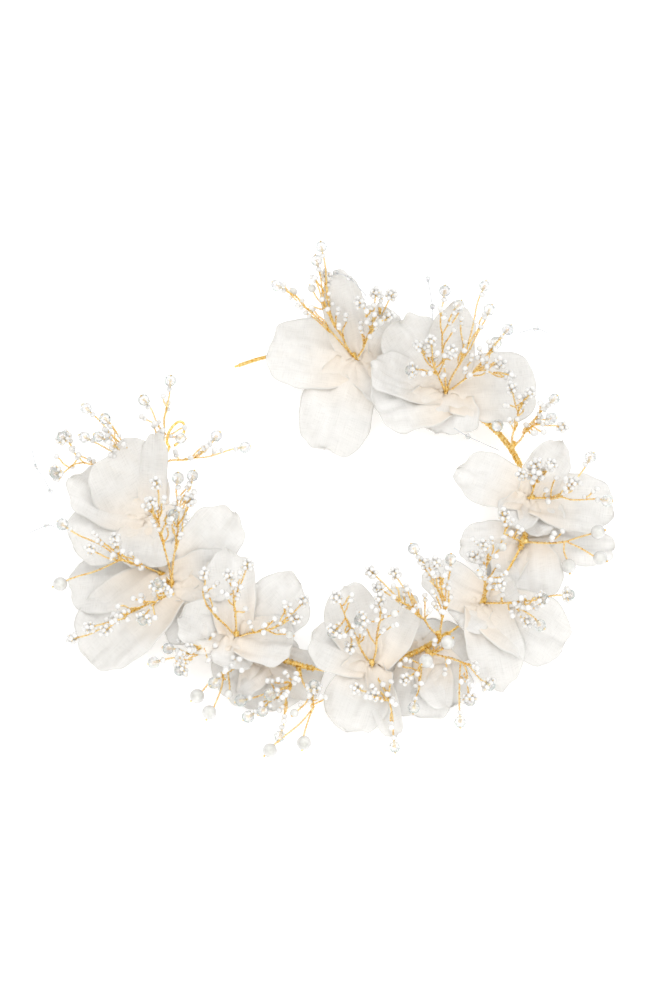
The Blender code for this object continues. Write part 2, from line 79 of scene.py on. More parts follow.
# Flowers: the eye's place and radius, whether it lies under the core wire, and the
# petals, each with its heading in degrees, reach, width and the height of its tip.
FLOWERS = [
    ((5, 75), 4.0, False, [(171, 38, 35, 16), (250, 40, 32, 0.6), (108, 30, 19, 40), (58, 24, 24, 24),
                           (325, 26, 26, 16)]),
    ((43, 59), 3.5, False, [(124, 36, 28, 25), (82, 33, 20, 31), (4, 38, 36, 14), (196, 32, 32, 18),
                            (165, 33, 22, 22), (255, 18, 34, 10)]),
    ((77, 7), 3.5, False, [(155, 32, 24, 15), (58, 26, 18, 22), (352, 36, 28, 13), (300, 18, 20, 14),
                           (240, 16, 18, 15)]),
    ((74, -12), 3.0, True, [(178, 26, 22, 7), (0, 40, 17, 4), (275, 24, 30, 0.7), (45, 22, 22, 5),
                            (225, 20, 20, 5)]),
    ((57, -43), 3.5, False, [(333, 38, 31, 6), (284, 34, 24, 3), (152, 27, 22, 21), (35, 16, 18, 17),
                             (228, 15, 18, 15)]),
    ((34, -64), 3.0, True, [(258, 26, 28, 0.7), (300, 24, 24, 3), (215, 20, 22, 3), (95, 18, 20, 6),
                            (25, 20, 20, 6)]),
    ((11, -72), 3.5, False, [(112, 32, 24, 27), (62, 33, 21, 25), (247, 27, 27, 3), (286, 32, 12, 6),
                             (155, 27, 24, 18)]),
    ((-33, -67), 3.0, True, [(208, 22, 26, 3), (278, 20, 28, 0.7), (340, 24, 22, 4), (60, 16, 18, 6),
                             (130, 18, 20, 6)]),
    ((-45, -59), 3.5, False, [(38, 34, 28, 22), (97, 36, 20, 23), (345, 24, 24, 18), (166, 24, 24, 19),
                              (262, 17, 18, 16)]),
    ((-73, -34), 7.0, False, [(48, 40, 26, 22), (8, 27, 26, 17), (220, 45, 36, 0.6), (176, 42, 30, 8),
                              (300, 30, 27, 14.2)]),
    ((-82, -2), 3.5, False, [(125, 27, 34, 33), (85, 29, 13, 35), (160, 35, 26, 23), (205, 36, 31, 17),
                             (262, 27, 27, 20), (330, 16, 18, 20)]),
]

# Sprays: the foot's place on the band, the side it is bound to, and its stems. Each
# stem runs from the foot to a fork, and its twigs run on to the tips.
SPRAYS = [
    ((5, 76), "top", [
        ((-6, 87, 28), [(-10, 108, 52, "crystal"), (-12, 105, 46, "crystal"), (-8, 102, 40, "seed"),
                        (-14, 98, 35, "pearl")]),
        ((-16, 92, 28), [(-29, 99, 36, "crystal"), (-22, 99, 31, "pearl")]),
        ((11, 80, 30), [(6, 87, 42, "seed"), (13, 90, 45, "seed"), (20, 91, 42, "seed"),
                        (19, 84, 36, "seed"), (15, 79, 38, "pearl")]),
    ]),
    ((43, 59), "top", [
        ((41, 73, 38), [(42, 86, 52, "crystal"), (48, 82, 47, "crystal")]),
        ((52, 71, 32), [(59, 91, 48, "crystal"), (61, 83, 42, "crystal")]),
        ((56, 63, 26), [(69, 78, 34, "crystal"), (64, 74, 30, "crystal"), (70, 60, 26, "seed"),
                        (66, 65, 28, "seed")]),
        ((38, 62, 28), [(31, 68, 38, "seed"), (36, 68, 42, "seed"), (45, 66, 38, "seed"),
                        (28, 62, 27, "flower")]),
    ]),
    ((71, 32), "top", [
        ((73, 43, 24), [(70, 51, 32, "seed"), (78, 48, 33, "seed")]),
        ((80, 42, 20), [(88, 46, 30, "crystal"), (87, 42, 21, "crystal"), (92, 37, 22, "seed")]),
    ]),
    ((77, 7), "top", [
        ((90, 2, 24), [(109, -1, 26, "crystal"), (102, 13, 38, "crystal"), (95, 6, 30, "seed")]),
        ((80, 9, 28), [(73, 7, 34, "seed"), (79, 10, 38, "seed"), (86, 11, 36, "seed")]),
    ]),
    ((75, -14), "top", [
        ((92, -16, 18), [(105, -15, 24, "big"), (106, -24, 18, "big"), (93, -25, 13, "big")]),
        ((66, -15, 22), [(66, -8, 28, "seed"), (64, -20, 20, "pearl")]),
    ]),
    ((57, -43), "top", [
        ((70, -48, 24), [(81, -50, 30, "flower"), (92, -47, 28, "flower"), (80, -58, 22, "crystal"),
                         (75, -55, 19, "seed")]),
        ((59, -29, 26), [(52, -29, 29, "seed"), (57, -26, 34, "seed"), (65, -25, 29, "pearl")]),
        ((58, -42, 28), [(64, -45, 34, "seed"), (55, -41, 36, "pearl")]),
    ]),
    ((39, -60), "top", [
        ((41, -51, 30), [(37, -40, 44, "seed"), (43, -38, 42, "crystal"), (28, -33, 42, "crystal"),
                         (32, -37, 38, "seed")]),
        ((29, -55, 28), [(10, -43, 41, "seed"), (13, -48, 36, "seed"), (20, -42, 38, "seed"),
                         (23, -50, 30, "pearl")]),
    ]),
    ((33, -63), "side", [
        ((48, -72, 16), [(59, -81, 13, "flower"), (51, -87, 11, "flower"), (47, -96, 9, "crystal")]),
        ((30, -76, 15), [(28, -90, 10, "crystal"), (24, -80, 16, "seed")]),
        ((38, -68, 18), [(42, -66, 22, "big"), (33, -74, 21, "big")]),
    ]),
    ((11, -72), "top", [
        ((0, -60, 32), [(-4, -54, 40, "seed"), (-5, -65, 29, "flower"), (2, -70, 24, "seed")]),
        ((14, -61, 32), [(14, -55, 40, "seed"), (6, -63, 36, "flower"), (20, -60, 36, "pearl")]),
        ((18, -90, 16), [(20, -108, 10, "crystal"), (11, -88, 18, "seed"), (4, -85, 18, "seed")]),
    ]),
    ((-19, -73), "side", [
        ((-23, -82, 12), [(-34, -91, 9, "crystal"), (-40, -92, 6, "crystal"), (-27, -101, 6, "crystal"),
                          (-31, -86, 14, "crystal"), (-43, -86, 9, "crystal")]),
        ((-13, -90, 11), [(-31, -107, 5, "big"), (-17, -104, 6, "big"), (-21, -94, 13, "pearl"),
                          (-13, -84, 18, "flower")]),
    ]),
    ((-36, -64), "side", [
        ((-50, -76, 13), [(-61, -84, 9, "big"), (-56, -90, 6, "big"), (-54, -81, 15, "crystal"),
                          (-48, -84, 11, "pearl")]),
    ]),
    ((-53, -54), "side", [
        ((-61, -67, 13), [(-68, -74, 13, "flower"), (-73, -65, 15, "crystal"), (-79, -70, 12, "crystal")]),
    ]),
    ((-45, -59), "top", [
        ((-46, -51, 30), [(-48, -44, 40, "seed"), (-40, -40, 42, "seed")]),
        ((-30, -61, 25), [(-17, -51, 31, "seed"), (-20, -57, 26, "seed"), (-23, -63, 23, "pearl")]),
        ((-57, -51, 26), [(-58, -40, 34, "seed")]),
    ]),
    ((-72, -35), "top", [
        ((-77, -18, 36), [(-78, -6, 50, "seed"), (-80, -13, 46, "seed"), (-71, -17, 42, "crystal")]),
        ((-69, -14, 38), [(-63, -3, 50, "crystal"), (-69, -3, 48, "crystal"), (-64, -10, 42, "seed")]),
    ]),
    ((-79, 24), "top", [
        ((-76, 30, 28), [(-73, 44, 48, "crystal"), (-84, 37, 44, "crystal"), (-69, 28, 28, "crystal")]),
        ((-63, 22, 22), [(-54, 28, 30, "crystal"), (-42, 26, 24, "crystal")]),
    ]),
    ((-76, -30), "top", [
        ((-93, -31, 29), [(-118, -38, 21, "big"), (-95, -25, 37, "seed"), (-117, -17, 34, "crystal"),
                          (-106, -27, 31, "seed")]),
    ]),
    ((-70, -38), "top", [
        ((-92, -55, 24), [(-99, -60, 21, "seed"), (-106, -57, 18, "seed"), (-113, -60, 14, "seed")]),
        ((-77, -48, 26), [(-83, -58, 27, "flower"), (-77, -46, 35, "flower")]),
    ]),
    ((-83, 18), "side", [
        ((-91, 22, 28), [(-100, 28, 44, "crystal"), (-108, 33, 44, "crystal"), (-103, 24, 36, "crystal"),
                         (-109, 25, 34, "crystal")]),
        ((-110, 22, 18), [(-118, 25, 34, "flower"), (-121, 11, 28, "flower")]),
    ]),
]

# Short side twigs with one or two seed beads, for each tip of a kind.
EXTRA_TWIGS = {"seed": 3, "crystal": 2, "flower": 2, "pearl": 1}
HEART_TWIGS = 5                # short ones between a spray's foot and its forks

SEED_RADII = (0.95, 1.2)
CRYSTAL_RADII = (2.4, 2.7)
BAND_CRYSTAL_RADII = (2.6, 2.6, 2.5)
SMALL_PEARL_RADIUS = 1.8
LARGE_PEARL_RADIUS = 3.0
BRISTLE_RADIUS = 0.2
BRISTLE_BEAD_RADII = (1.3, 1.3, 1.25)
CLOTH_THICKNESS = 0.14

# Each cloth's darkest and lightest colour, and its tint near the wire. The flowers under the
# band lie in the others' shade, so theirs is a copy of the cloth painted paler to lift that shade.
IVORY = ((0.775, 0.765, 0.738), (0.87, 0.861, 0.84), (0.91, 0.82, 0.71))
SHADE_LIFTED_IVORY = ((0.81, 0.80, 0.777), (0.89, 0.882, 0.864), (0.93, 0.84, 0.735))

FLOOR_GLOW = 0.3               # lights the floor where the petals shade it
CAMERA_DISTANCE = 2.0
CAMERA_ELEVATION = 60.0
VIEW_HEIGHT = 0.42             # metres that the image covers from bottom to top

# Clear bristles: a root, the way to the tip, and which of these places hold a bead.
STRANDS = [
    ([(9, 95, 34), (2, 100, 40), (-4, 102, 41)], [1, 2]),
    ([(37, 80, 38), (37, 85, 41), (35, 93, 50)], [1, 2]),
    ([(74, 77, 33), (81, 79, 33), (87, 77, 32)], [1]),
    ([(65, 31, 13), (52, 36, 16), (46, 39, 18)], [1]),
    ([(-123, 4, 25), (-126, 9, 28), (-129, 13, 30), (-131, 21, 32)], [0, 2]),
    ([(-121, -14, 27), (-124, -13, 26), (-132, -17, 26)], [1]),
]

tail_mount = frame["record"]["mounts"][0]["pos_m"]
SHIFT = Vector(tail_mount) - Vector((*ROUTE[0], BAND_HEIGHT)) * MM


# ---- Materials ----

class Nodes:
    """A material's node tree with short calls for adding and joining nodes."""

    def __init__(self, name):
        self.material = bpy.data.materials.new(name)
        self.material.use_nodes = True
        self.tree = self.material.node_tree
        self.shader = self.tree.nodes["Principled BSDF"]

    def add(self, kind, settings=(), values=()):
        node = self.tree.nodes.new(kind)
        for key, value in dict(settings).items():
            setattr(node, key, value)
        for key, value in dict(values).items():
            node.inputs[key].default_value = value
        return node

    def join(self, source, target):
        self.tree.links.new(source, target)

    def set(self, **values):
        for key, value in values.items():
            self.shader.inputs[key.replace("_", " ")].default_value = value

    def noise(self, vector, scale, detail=3.0, stretch=None):
        if stretch:
            spread = self.add("ShaderNodeMapping", values={"Scale": stretch})
            self.join(vector, spread.inputs["Vector"])
            vector = spread.outputs["Vector"]
        node = self.add("ShaderNodeTexNoise", values={"Scale": scale, "Detail": detail})
        self.join(vector, node.inputs["Vector"])
        return node.outputs["Fac"]

    def ramp(self, factor, low, high, colours=None):
        """Maps the factor between two places to 0 and 1, or to two colours."""
        node = self.add("ShaderNodeValToRGB")
        node.color_ramp.elements[0].position = low
        node.color_ramp.elements[1].position = high
        if colours:
            for element, colour in zip(node.color_ramp.elements, colours):
                element.color = (*colour, 1.0)
        self.join(factor, node.inputs["Fac"])
        return node.outputs["Color"]

    def math(self, operation, first, second):
        node = self.add("ShaderNodeMath", {"operation": operation})
        for socket, value in zip(node.inputs, (first, second)):
            if isinstance(value, (int, float)):
                socket.default_value = value
            else:
                self.join(value, socket)
        return node.outputs["Value"]

    def mix(self, factor, first, second):
        """The first colour where the factor is 0, the second where it is 1."""
        node = self.add("ShaderNodeMix", {"data_type": "RGBA"})
        self.join(factor, node.inputs[0])
        for socket, colour in ((node.inputs[6], first), (node.inputs[7], second)):
            if isinstance(colour, tuple):
                socket.default_value = (*colour, 1.0)
            else:
                self.join(colour, socket)
        return node.outputs[2]

    def bump(self, height, strength, distance):
        node = self.add("ShaderNodeBump", values={"Strength": strength, "Distance": distance})
        self.join(height, node.inputs["Height"])
        self.join(node.outputs["Normal"], self.shader.inputs["Normal"])


def organza_material(name, dark, light, tint):
    """Sheer slubbed cloth: fine threads both ways, a soft edge, warmer near the wire."""
    nodes = Nodes(name)
    cloth = nodes.add("ShaderNodeAttribute", {"attribute_name": "cloth"})
    place = cloth.outputs["Vector"]
    rim = nodes.add("ShaderNodeAttribute", {"attribute_name": "rim"}).outputs["Fac"]
    way_out = nodes.add("ShaderNodeAttribute", {"attribute_name": "way_out"}).outputs["Fac"]
    long_slubs = nodes.noise(place, 1.0, 2.0, stretch=(90.0, 3400.0, 1.0))
    cross_slubs = nodes.noise(place, 1.0, 2.0, stretch=(3400.0, 210.0, 1.0))
    clouds = nodes.noise(place, 110.0, 5.0)
    slubs = nodes.math("ADD", long_slubs, cross_slubs)
    dense = nodes.ramp(slubs, 0.7, 1.3)
    shade = nodes.math("ADD", nodes.math("MULTIPLY", dense, 0.26),
                       nodes.math("MULTIPLY", clouds, 0.74))
    colour = nodes.ramp(shade, 0.25, 0.75, [dark, light])
    warm = nodes.mix(nodes.ramp(way_out, 0.0, 0.6), tint, colour)
    edge = nodes.ramp(rim, 0.93, 1.0)
    nodes.join(nodes.mix(edge, warm, (0.81, 0.80, 0.77)), nodes.shader.inputs["Base Color"])
    alpha = nodes.math("MULTIPLY_ADD", shade, 0.22)
    alpha.node.inputs[2].default_value = 0.66
    nodes.join(nodes.math("MAXIMUM", alpha, nodes.math("MULTIPLY", edge, 0.84)),
               nodes.shader.inputs["Alpha"])
    rough = nodes.math("MULTIPLY_ADD", clouds, 0.25)
    rough.node.inputs[2].default_value = 0.45
    nodes.join(rough, nodes.shader.inputs["Roughness"])
    nodes.set(Sheen_Weight=0.35, Sheen_Roughness=0.4, Specular_IOR_Level=0.3)
    nodes.bump(slubs, 0.1, 0.0003)
    return nodes.material


def gold_material(name, colour, roughness):
    nodes = Nodes(name)
    place = nodes.add("ShaderNodeTexCoord").outputs["Object"]
    wear = nodes.noise(place, 850.0, 3.0)
    deep = [part * share for part, share in zip(colour, (0.84, 0.70, 0.42))]
    pale = [1.0, colour[1] * 0.5 + 0.44, colour[2] * 0.6 + 0.24]
    nodes.join(nodes.ramp(wear, 0.4, 0.62, [deep, pale]), nodes.shader.inputs["Base Color"])
    rough = nodes.math("MULTIPLY_ADD", wear, 0.18)
    rough.node.inputs[2].default_value = roughness
    nodes.join(rough, nodes.shader.inputs["Roughness"])
    nodes.set(Metallic=1.0)
    nodes.bump(nodes.noise(place, 4000.0, 2.0), 0.12, 0.00005)
    return nodes.material


def pearl_material(name, light, dark):
    nodes = Nodes(name)
    place = nodes.add("ShaderNodeTexCoord").outputs["Object"]
    clouds = nodes.noise(place, 420.0, 3.0)
    nodes.join(nodes.ramp(clouds, 0.3, 0.7, [dark, light]), nodes.shader.inputs["Base Color"])
    rough = nodes.math("MULTIPLY_ADD", clouds, 0.14)
    rough.node.inputs[2].default_value = 0.14
    nodes.join(rough, nodes.shader.inputs["Roughness"])
    nodes.set(Coat_Weight=0.7, Coat_Roughness=0.05, Thin_Film_Thickness=380.0, Thin_Film_IOR=1.45)
    nodes.bump(nodes.noise(place, 1500.0, 2.0), 0.06, 0.00008)
    return nodes.material


def seed_material():
    """Pearlised glass, cloudy and a little clear."""
    nodes = Nodes("pearlised_seed")
    place = nodes.add("ShaderNodeTexCoord").outputs["Object"]
    clouds = nodes.noise(place, 380.0, 3.0)
    nodes.join(nodes.ramp(clouds, 0.3, 0.7, [(0.80, 0.795, 0.78), (0.95, 0.95, 0.945)]),
               nodes.shader.inputs["Base Color"])
    rough = nodes.math("MULTIPLY_ADD", clouds, 0.12)
    rough.node.inputs[2].default_value = 0.08
    nodes.join(rough, nodes.shader.inputs["Roughness"])
    nodes.set(Coat_Weight=0.4, Coat_Roughness=0.04, Transmission_Weight=0.12, IOR=1.4)
    return nodes.material


def crystal_material():
    """Clear cut glass; small cells vary its roughness, and their grey to white paints facet light and
    shade.
    """
    nodes = Nodes("aurora_crystal")
    place = nodes.add("ShaderNodeTexCoord").outputs["Object"]
    cells = nodes.add("ShaderNodeTexVoronoi", values={"Scale": 640.0})
    nodes.join(place, cells.inputs["Vector"])
    split = nodes.add("ShaderNodeSeparateColor")
    nodes.join(cells.outputs["Color"], split.inputs["Color"])
    # painted facet light and shade: each cell gets its own colour between grey and white
    nodes.join(nodes.ramp(split.outputs["Red"], 0.15, 0.8, [(0.78, 0.79, 0.82), (1.0, 1.0, 0.99)]),
               nodes.shader.inputs["Base Color"])
    rough = nodes.math("MULTIPLY_ADD", split.outputs["Green"], 0.12)
    rough.node.inputs[2].default_value = 0.01
    nodes.join(rough, nodes.shader.inputs["Roughness"])
    nodes.set(Transmission_Weight=0.7, IOR=1.56, Thin_Film_Thickness=430.0, Thin_Film_IOR=1.7)
    return nodes.material


def nylon_material():
    nodes = Nodes("clear_nylon")
    place = nodes.add("ShaderNodeTexCoord").outputs["Object"]
    haze = nodes.noise(place, 700.0, 2.0)
    nodes.join(nodes.ramp(haze, 0.3, 0.7, [(0.66, 0.68, 0.71), (0.82, 0.84, 0.87)]),
               nodes.shader.inputs["Base Color"])
    rough = nodes.math("MULTIPLY_ADD", haze, 0.1)
    rough.node.inputs[2].default_value = 0.08
    nodes.join(rough, nodes.shader.inputs["Roughness"])
    nodes.set(Transmission_Weight=0.3, IOR=1.5)
    return nodes.material


def floor_material():
    nodes = Nodes("pale_floor")
    place = nodes.add("ShaderNodeTexCoord").outputs["Object"]
    grain = nodes.noise(place, 40.0, 3.0)
    nodes.join(nodes.ramp(grain, 0.2, 0.8, [(0.90, 0.90, 0.90), (0.93, 0.93, 0.93)]),
               nodes.shader.inputs["Base Color"])
    nodes.set(Roughness=0.8, Emission_Strength=FLOOR_GLOW, Emission_Color=(1.0, 1.0, 1.0, 1.0))
    return nodes.material


# ---- Shapes ----

class Shape:
    """Vertices and faces gathered from many small forms, for one piece."""

    def __init__(self):
        self.points, self.faces, self.count = [], [], 0

    def add(self, points, faces):
        self.points.append(np.asarray(points, float))
        self.faces.append(np.asarray(faces, int) + self.count)
        self.count += len(points)

    def build(self, name, material, smooth=True):
        mesh = bpy.data.meshes.new(name)
        points = np.concatenate(self.points) * MM + np.array(SHIFT)
        faces = [tuple(face) for block in self.faces for face in block.tolist()]
        mesh.from_pydata(points.tolist(), [], faces)
        if smooth:
            mesh.shade_smooth()
        mesh.materials.append(material)
        item = bpy.data.objects.new(name, mesh)
        bpy.context.scene.collection.objects.link(item)
        return item


def smooth_route(points, step):
    """Evenly spaced points on a Catmull-Rom curve through the given points."""
    points = [Vector(point) for point in points]
    ends = [points[0] * 2 - points[1]] + points + [points[-1] * 2 - points[-2]]
    fine = []
    for i in range(1, len(ends) - 2):
        a, b, c, d = ends[i - 1:i + 3]
        for k in range(20):
            t = k / 20
            fine.append(0.5 * (2 * b + (c - a) * t + (2 * a - 5 * b + 4 * c - d) * t * t
                               + (3 * b - a - 3 * c + d) * t ** 3))
    fine.append(points[-1])
    fine = np.array(fine)
    lengths = np.concatenate([[0.0], np.cumsum(np.linalg.norm(np.diff(fine, axis=0), axis=1))])
    goals = np.linspace(0.0, lengths[-1], max(3, round(lengths[-1] / step) + 1))
    return np.stack([np.interp(goals, lengths, fine[:, k]) for k in range(3)], axis=1)


def side_frames(path):
    """Two directions across the path at each point, turned as little as possible."""
    along = np.gradient(path, axis=0)
    along /= np.linalg.norm(along, axis=1)[:, None]
    first = np.cross(along[0], (0.0, 0.0, 1.0))
    if np.linalg.norm(first) < 0.1:
        first = np.cross(along[0], (1.0, 0.0, 0.0))
    across = [first / np.linalg.norm(first)]
    for direction in along[1:]:
        turned = across[-1] - direction * np.dot(across[-1], direction)
        across.append(turned / np.linalg.norm(turned))
    across = np.array(across)
    return across, np.cross(along, across)


def add_tube(shape, path, radius, sides=6):
    """A closed tube along the path; the radius may change from point to point."""
    across, up = side_frames(path)
    turn = np.arange(sides) * 2 * math.pi / sides
    radius = np.broadcast_to(np.asarray(radius, float), (len(path),))
    rings = (path[:, None] + radius[:, None, None] * (np.cos(turn)[None, :, None] * across[:, None]
                                                      + np.sin(turn)[None, :, None] * up[:, None]))
    points = np.concatenate([rings.reshape(-1, 3), path[:1], path[-1:]])
    step = np.arange(len(path) - 1)[:, None] * sides
    k = np.arange(sides)[None, :]
    after = (k + 1) % sides
    quads = np.stack([step + k, step + after, step + sides + after, step + sides + k], axis=2)
    shape.add(points, quads.reshape(-1, 4))
    start = shape.count - len(points)
    last = (len(path) - 1) * sides
    caps = []
    for side in range(sides):
        nxt = (side + 1) % sides
        caps.append((start + len(points) - 2, start + nxt, start + side))
        caps.append((start + len(points) - 1, start + last + side, start + last + nxt))
    shape.faces.append(np.array(caps))


def add_twist(shape, corners, strands=2, radius=STRAND, pitch=PAIR_PITCH, phase=0.0, sides=6):
    """Strands of wire laid round each other along a smooth way through the corners."""
    path = smooth_route(corners, pitch / 8)
    across, up = side_frames(path)
    length = np.concatenate([[0.0], np.cumsum(np.linalg.norm(np.diff(path, axis=0), axis=1))])
    spread = radius * (PAIR_SPREAD if strands == 2 else 1.0 / math.sin(math.pi / strands))
    for strand in range(strands):
        turn = phase + 2 * math.pi * (length / pitch + strand / strands)
        centre = path + spread * (np.cos(turn)[:, None] * across + np.sin(turn)[:, None] * up)
        add_tube(shape, centre, radius, sides)


def add_coil(shape, path, outer, wire, spacing=2.1, sides=6):
    """Fine wire wound around the path, never quite even."""
    even = smooth_route(path, wire * spacing / 12)
    across, up = side_frames(even)
    length = np.concatenate([[0.0], np.cumsum(np.linalg.norm(np.diff(even, axis=0), axis=1))])
    slack = 0.25 * np.sin(length * 0.9) + 0.15 * np.sin(length * 2.3)
    turn = 2 * math.pi * (length / (wire * spacing) + slack)
    sink = 0.05 * (1.0 + np.sin(length * 1.9) * np.sin(length * 0.63 + 1.0))
    reach = (outer - wire) * (1.0 - sink)
    centre = even + reach[:, None] * (np.cos(turn)[:, None] * across + np.sin(turn)[:, None] * up)
    add_tube(shape, centre, wire, sides)


def unit_ball(around, rows):
    """A ball of radius 1: rings between two poles, as points and faces of four or three."""
    points = [(0.0, 0.0, 1.0)]
    for row in range(1, rows):
        tilt = math.pi * row / rows
        for k in range(around):
            turn = 2 * math.pi * k / around
            points.append((math.sin(tilt) * math.cos(turn), math.sin(tilt) * math.sin(turn),
                           math.cos(tilt)))
    points.append((0.0, 0.0, -1.0))
    quads, ends = [], []
    for k in range(around):
        after = (k + 1) % around
        ends.append((0, 1 + k, 1 + after))
        low = 1 + (rows - 2) * around
        ends.append((len(points) - 1, low + after, low + k))
        for row in range(rows - 2):
            top = 1 + row * around
            quads.append((top + k, top + around + k, top + around + after, top + after))
    return np.array(points), np.array(quads), np.array(ends)


SMOOTH_BALL = unit_ball(20, 12)
BEAD_BALL = unit_ball(11, 7)
TINY_BALL = unit_ball(8, 5)


def facet_ball():
    """A cut bead: flat facets in staggered rows between two small tables."""
    rows = [(0.0, 0.45, 1.0), (0.5, 0.86, 0.62), (0.0, 1.0, 0.0), (0.5, 0.86, -0.62), (0.0, 0.45, -1.0)]
    around = 8
    points = []
    for offset, radius, height in rows:
        for k in range(around):
            turn = 2 * math.pi * (k + offset) / around
            points.append((radius * math.cos(turn), radius * math.sin(turn), height * 0.92))
    faces = []
    for row in range(len(rows) - 1):
        shift = 0 if rows[row][0] == 0.0 else 1
        for k in range(around):
            a, b = row * around + k, row * around + (k + 1) % around
            c = (row + 1) * around + (k + shift) % around
            d = (row + 1) * around + (k + shift + around - 1) % around
            faces.append((a, c, b))
            faces.append((a, d, c))
    top = len(points)
    points += [(0.0, 0.0, 0.92), (0.0, 0.0, -0.92)]
    last = (len(rows) - 1) * around
    for k in range(around):
        faces.append((top, k, (k + 1) % around))
        faces.append((top + 1, last + (k + 1) % around, last + k))
    return np.array(points), np.zeros((0, 4), int), np.array(faces)


FACET_BALL = facet_ball()


def add_ball(shape, ball, place, radii, along=(0.0, 0.0, 1.0), spin=0.0):
    """A ball with its own axis along a direction, and its three radii."""
    turn = Vector(along).to_track_quat("Z", "Y").to_matrix() @ Matrix.Rotation(spin, 3, "Z")
    points, quads, ends = ball
    placed = (points * np.asarray(radii)) @ np.array(turn).T + np.array(place)
    start = shape.count
    shape.add(placed, quads if len(quads) else ends)
    if len(quads):
        shape.faces.append(ends + start)


# ---- The band ----

def lifted(place, height=BAND_HEIGHT):
    return Vector((place[0], place[1], height))


BAND = smooth_route([lifted(place) for place in ROUTE], 1.0)


def band_index(place):
    return int(np.argmin(np.hypot(BAND[:, 0] - place[0], BAND[:, 1] - place[1])))


def foot_place(foot, side):
    """The centre of a spray's knot, resting on the binding."""
    index = band_index(foot)
    reach = WINDING_RADIUS + 0.5
    if side == "top":
        return Vector(BAND[index]) + Vector((0.0, 0.0, reach))
    along = BAND[min(index + 1, len(BAND) - 1)] - BAND[max(index - 1, 0)]
    return Vector(BAND[index]) + Vector((-along[1], along[0], 0.0)).normalized() * reach


def finished(item, slot, *nodes):
    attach(item, "root")
    if nodes:
        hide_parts(*nodes)
    return item


def make_band(gold):
    core = Shape()
    add_twist(core, BAND[2:-2], strands=3, radius=0.27, pitch=5.0)
    tail = smooth_route([BAND[0], BAND[1], BAND[2], BAND[4]], 0.5)
    add_tube(core, tail, 0.5, 10)
    add_tube(core, smooth_route([BAND[-4], BAND[-2], BAND[-1]], 0.5), 0.5, 10)
    finished(core.build("twisted_band", gold), "gold_wire", "core_wire")
    for number, (start, end) in enumerate(BINDINGS, 1):
        first, last = band_index(start), band_index(end)
        stretch = BAND[first:max(last, first + 4) + 1]
        winding = Shape()
        add_coil(winding, stretch, WINDING_RADIUS, 0.23, spacing=2.3)
        add_coil(winding, stretch[::-1], WINDING_RADIUS + 0.3, 0.2, spacing=8.0)
        add_twist(winding, smooth_route(stretch, 1.5), strands=4, radius=0.34, pitch=6.0)
        finished(winding.build(f"winding_{number:02d}", gold), "wrap_wire", f"binding_{number:02d}")
    winding = Shape()
    add_coil(winding, BAND[2:17], 0.95, 0.2)
    finished(winding.build("tail_winding", gold), "wrap_wire", "tail_wrap")


def make_loop(gold):
    """The pin loop: a shank and an open oval of the core's own wire."""
    start = Vector(BAND[-1])
    along = (Vector(BAND[-1]) - Vector(BAND[-5])).normalized()
    across = Vector((along.y, -along.x, 0.0))
    neck = start + along * 2.7
    middle = neck + along * 6.5
    points = [start + along * 0.3, start + along * 1.5]
    for k in range(17):
        angle = math.radians(6.4 + (360 - 38.4) * k / 16)
        points.append(middle - along * (6.5 * math.cos(angle)) - across * (3.0 * math.sin(angle)))
    loop = Shape()
    add_tube(loop, smooth_route(points, 0.5), CORE_RADIUS, 12)
    add_twist(loop, [start - along * 2.0, start + along * 2.5], strands=3, radius=0.3, pitch=2.4)
    finished(loop.build("pin_loop", gold), "gold_wire", "end_loop")


# ---- Flowers ----

PETAL_ROWS, PETAL_COLUMNS = 34, 30


